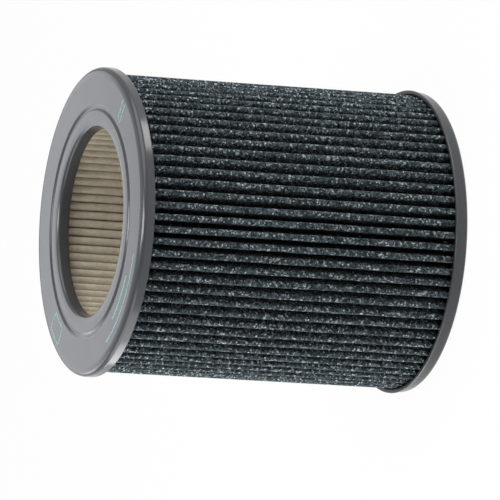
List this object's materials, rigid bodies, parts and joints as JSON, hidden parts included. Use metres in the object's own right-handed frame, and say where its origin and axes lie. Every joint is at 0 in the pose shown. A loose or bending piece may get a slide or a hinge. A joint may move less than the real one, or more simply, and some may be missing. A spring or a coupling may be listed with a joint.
{
  "type": "air purifier filter cartridge",
  "caption": "Round air purifier filter: dark folded carbon cloth lined with pale fine media, held between an open grey end cap with a round mouth and a closed one.",
  "frame": {"origin": "centre of the closed cap's underside, on the surface that the cartridge stands on", "axes": "+Z along the cartridge's axis, from the closed end towards the open end; X and Y across it, with -Y towards the picture's near side"},
  "size_m": [0.18, 0.18, 0.2015],
  "materials": {
    "cap_plastic": "satin moulded plastic",
    "carbon_cloth": "matte non-woven cloth with light fibres",
    "fine_media": "matte filter paper",
    "adhesive": "matte cured potting adhesive"
  },
  "bodies": {
    "root": {"open_end_cap": "cap_plastic", "closed_end_cap": "cap_plastic", "carbon_pleats": "carbon_cloth", "fine_media_pleats": "fine_media", "upper_adhesive_bed": "adhesive", "lower_adhesive_bed": "adhesive"}
  },
  "joints": []
}
